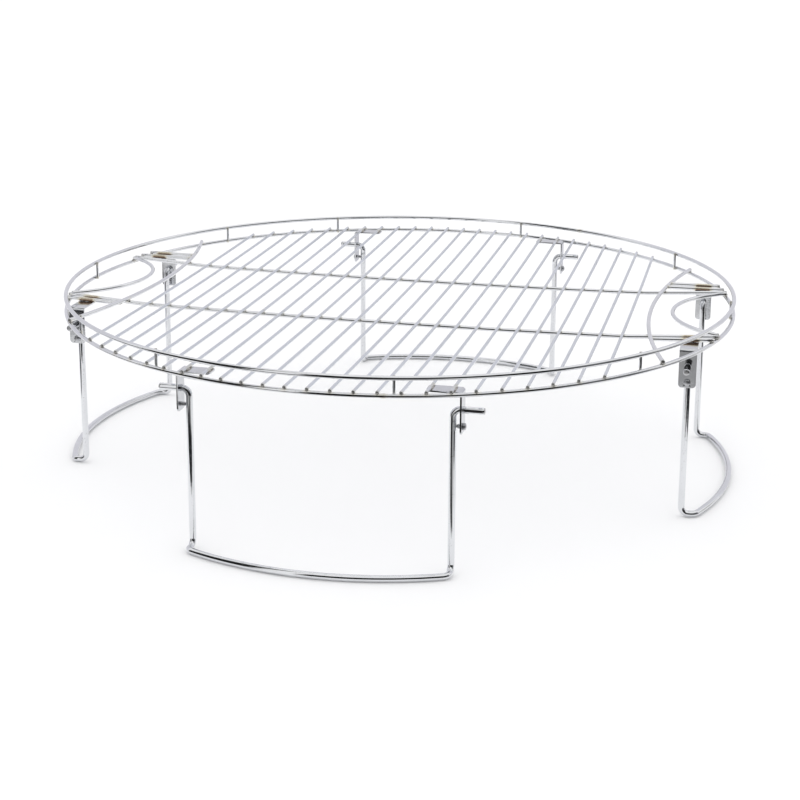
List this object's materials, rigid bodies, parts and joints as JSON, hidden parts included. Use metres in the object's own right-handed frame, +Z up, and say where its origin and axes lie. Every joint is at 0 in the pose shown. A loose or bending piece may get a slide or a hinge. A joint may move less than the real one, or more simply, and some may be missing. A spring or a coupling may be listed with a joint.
{
  "type": "cooling rack",
  "caption": "Round footed wire rack for cooling baked goods: parallel grid bars inside a raised double rim, side hand loops and fold-in wire legs.",
  "frame": {"origin": "on the worktop, under the centre of the round rim", "axes": "+Z up; X along the two long cross bars, with a hand loop at each end; Y along the parallel grid bars; the front is -Y"},
  "size_m": [0.5106, 0.5106, 0.1362],
  "materials": {
    "rim_wire": "bright plated steel wire",
    "grid_wire": "bright plated steel wire",
    "leg_wire": "bright plated steel wire",
    "bracket_plate": "plated sheet steel, slightly satin",
    "rivet_steel": "plated steel, worn"
  },
  "bodies": {
    "rack": {"lower_ring": "rim_wire", "upper_ring": "rim_wire", "rail_posts": "rim_wire", "grid_bars": "grid_wire", "front_cross_bar": "rim_wire", "back_cross_bar": "rim_wire", "left_side_arc": "rim_wire", "right_side_arc": "rim_wire", "left_hand_loop": "rim_wire", "right_hand_loop": "rim_wire", "left_front_short_bar": "rim_wire", "right_front_short_bar": "rim_wire", "left_back_short_bars": "rim_wire", "right_back_short_bars": "rim_wire", "front_bracket_left": "bracket_plate", "front_bracket_right": "bracket_plate", "back_bracket_left": "bracket_plate", "back_bracket_right": "bracket_plate", "left_bracket_front": "bracket_plate", "left_bracket_back": "bracket_plate", "right_bracket_front": "bracket_plate", "right_bracket_back": "bracket_plate", "front_stop_rivets": "rivet_steel", "back_stop_rivets": "rivet_steel", "left_stop_rivets": "rivet_steel", "right_stop_rivets": "rivet_steel"},
    "front_leg_body": {"front_leg": "leg_wire"},
    "right_leg_body": {"right_leg": "leg_wire"},
    "back_leg_body": {"back_leg": "leg_wire"},
    "left_leg_body": {"left_leg": "leg_wire"}
  },
  "joints": [
    {"name": "front_leg_fold", "type": "hinge", "parent": "rack", "child": "front_leg_body", "pos_m": [0, -0.224, 0.111], "axis": [1, 0, 0], "range_deg": [0, 90]},
    {"name": "right_leg_fold", "type": "hinge", "parent": "rack", "child": "right_leg_body", "pos_m": [0.224, 0, 0.111], "axis": [0, 1, 0], "range_deg": [0, 90]},
    {"name": "back_leg_fold", "type": "hinge", "parent": "rack", "child": "back_leg_body", "pos_m": [0, 0.224, 0.111], "axis": [-1, 0, 0], "range_deg": [0, 90]},
    {"name": "left_leg_fold", "type": "hinge", "parent": "rack", "child": "left_leg_body", "pos_m": [-0.224, 0, 0.111], "axis": [0, -1, 0], "range_deg": [0, 90]}
  ]
}
